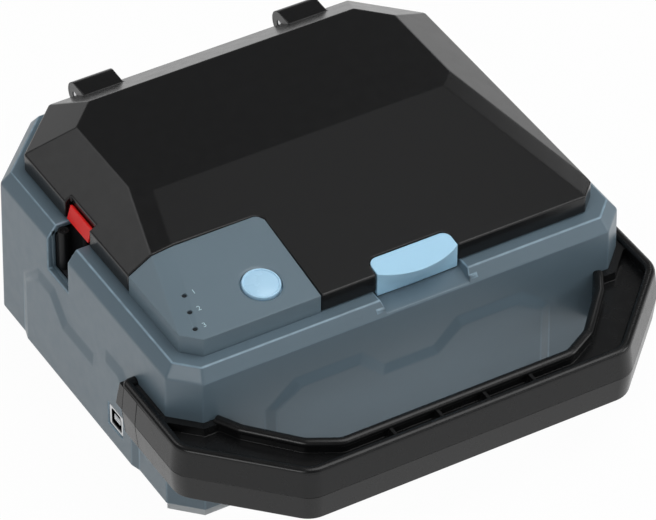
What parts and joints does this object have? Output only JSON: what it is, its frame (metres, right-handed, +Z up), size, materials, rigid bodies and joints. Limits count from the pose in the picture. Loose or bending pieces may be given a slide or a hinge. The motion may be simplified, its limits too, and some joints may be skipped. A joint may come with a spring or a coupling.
{
  "type": "cable label printer",
  "caption": "Desktop cable label printer with a hinged faceted lid over its label roll, ribbon, print head and cutter, a corner control panel and a fixed carrying handle.",
  "frame": {"origin": "on the table, under the centre of the whole outline, handle included", "axes": "+Z up, +Y from the handle towards the lid's hinges, +X to the right as seen from the handle"},
  "size_m": [0.2684, 0.2756, 0.1131],
  "materials": {
    "case_plastic": "satin blue-grey moulding",
    "lid_plastic": "semi-gloss black moulding",
    "handle_plastic": "fine-grained black moulding",
    "blue_plastic": "smooth light blue",
    "red_plastic": "smooth red",
    "lens_plastic": "smoked clear",
    "foot_rubber": "light grey, matte",
    "inner_plastic": "matte dark grey",
    "cassette_plastic": "matte mid grey",
    "gear_nylon": "natural nylon",
    "steel": "zinc-plated",
    "brass": "turned",
    "motor_case": "drawn can",
    "platen_rubber": "ground black rubber",
    "head_ceramic": "glazed ceramic",
    "ribbon_film": "wound black film",
    "label_stock": "wound white label stock",
    "core_card": "brown card",
    "board": "green solder mask",
    "battery_wrap": "blue shrink wrap"
  },
  "bodies": {
    "base": {"case_shell": "case_plastic", "base_plate": "inner_plastic", "base_screws": "steel", "feet": "foot_rubber", "control_panel": "case_plastic", "light_pipes": "lens_plastic", "panel_board": "board", "button_switch": "inner_plastic", "panel_screws": "steel", "hinge_pins": "steel", "catch_plate": "steel", "handle_upper": "handle_plastic", "handle_lower": "handle_plastic", "handle_covers": "handle_plastic", "handle_screws": "steel", "tray": "inner_plastic", "tray_screws": "steel", "drive_plate": "steel", "drive_spacers": "brass", "drive_motor": "motor_case", "gear_posts": "steel", "platen_bush": "brass", "head_pivot": "steel", "head_spring": "steel", "ribbon_cassette": "cassette_plastic", "label_holder": "cassette_plastic", "fixed_blade": "steel", "cutter_motor": "motor_case", "exit_chute": "inner_plastic", "roller_pin": "steel", "exit_guard": "red_plastic", "main_board": "board", "usb_socket": "steel", "power_inlet": "inner_plastic", "battery_pack": "battery_wrap"},
    "lid": {"lid": "lid_plastic", "lid_liner": "inner_plastic", "liner_screws": "steel", "latch_pin": "steel", "latch_spring": "steel"},
    "latch": {"latch": "blue_plastic"},
    "button": {"power_button": "blue_plastic"},
    "head": {"head_arm": "steel", "print_head": "head_ceramic"},
    "platen": {"platen_roller": "platen_rubber", "platen_shaft": "steel", "platen_gear": "gear_nylon"},
    "idler": {"idler_gear": "gear_nylon"},
    "second": {"second_gear": "gear_nylon"},
    "take_up": {"take_up_gear": "gear_nylon", "take_up_spool": "ribbon_film"},
    "motor_rotor": {"motor_pinion": "brass"},
    "supply": {"supply_spool": "ribbon_film"},
    "roll": {"label_roll": "label_stock", "roll_core": "core_card"},
    "cutter": {"cutter_carriage": "gear_nylon", "cutter_blade": "steel"},
    "cutter_drive": {"cutter_pinion": "brass"},
    "exit_roller": {"exit_roller": "platen_rubber"}
  },
  "joints": [
    {"name": "lid_hinge", "type": "hinge", "parent": "base", "child": "lid", "pos_m": [0, 0.1281, 0.0963], "axis": [-1, 0, 0], "range_deg": [0, 100]},
    {"name": "latch_pivot", "type": "hinge", "parent": "lid", "child": "latch", "pos_m": [0.0109, -0.0591, 0.09673], "axis": [-1, 0, 0], "range_deg": [0, 10], "stiffness_Nm_per_rad": 0.15, "springref_deg": -11.46},
    {"name": "button_slide", "type": "slide", "parent": "base", "child": "button", "axis": [0, 0.1532, -0.9882], "range_m": [0, 0.0008], "stiffness_N_per_m": 600, "springref_m": -0.0005},
    {"name": "head_swing", "type": "hinge", "parent": "base", "child": "head", "pos_m": [-0.08, 0.0263, 0.075], "axis": [0, 0, -1], "range_deg": [0, 5], "stiffness_Nm_per_rad": 0.3, "springref_deg": -11.46},
    {"name": "platen_spin", "type": "hinge", "parent": "base", "child": "platen", "pos_m": [-0.062, 0.051, 0.075], "axis": [0, 0, 1], "continuous": true},
    {"name": "idler_spin", "type": "hinge", "parent": "base", "child": "idler", "pos_m": [-0.03442, 0.04614, 0.055], "axis": [0, 0, 1], "continuous": true},
    {"name": "second_spin", "type": "hinge", "parent": "base", "child": "second", "pos_m": [-0.01369, 0.02853, 0.055], "axis": [0, 0, 1], "continuous": true},
    {"name": "take_up_spin", "type": "hinge", "parent": "base", "child": "take_up", "pos_m": [-0.012, 0.0078, 0.075], "axis": [0, 0, 1], "continuous": true},
    {"name": "motor_spin", "type": "hinge", "parent": "base", "child": "motor_rotor", "pos_m": [-0.0241, 0.06556, 0.055], "axis": [0, 0, 1], "continuous": true},
    {"name": "supply_spin", "type": "hinge", "parent": "base", "child": "supply", "pos_m": [0.028, -0.0202, 0.075], "axis": [0, 0, 1], "continuous": true},
    {"name": "roll_spin", "type": "hinge", "parent": "base", "child": "roll", "pos_m": [0.052, 0.0698, 0.075], "axis": [0, 0, 1], "continuous": true},
    {"name": "exit_roller_spin", "type": "hinge", "parent": "base", "child": "exit_roller", "pos_m": [-0.1174, 0.0496, 0.076], "axis": [0, 0, 1], "continuous": true},
    {"name": "cutter_slide", "type": "slide", "parent": "base", "child": "cutter", "axis": [0, 1, 0], "range_m": [0, 0.0065]},
    {"name": "cutter_pinion_spin", "type": "hinge", "parent": "base", "child": "cutter_drive", "pos_m": [-0.0892, 0.0118, 0.066], "axis": [0, 0, 1], "range_deg": [-80, 0]}
  ],
  "couplings": [
    {"joint": "idler_spin", "follows": "platen_spin", "ratio": -0.75},
    {"joint": "motor_spin", "follows": "platen_spin", "ratio": 2},
    {"joint": "second_spin", "follows": "platen_spin", "ratio": 1.0714},
    {"joint": "take_up_spin", "follows": "platen_spin", "ratio": -1.25},
    {"joint": "cutter_pinion_spin", "follows": "cutter_slide", "rad_per_m": -208.33}
  ]
}
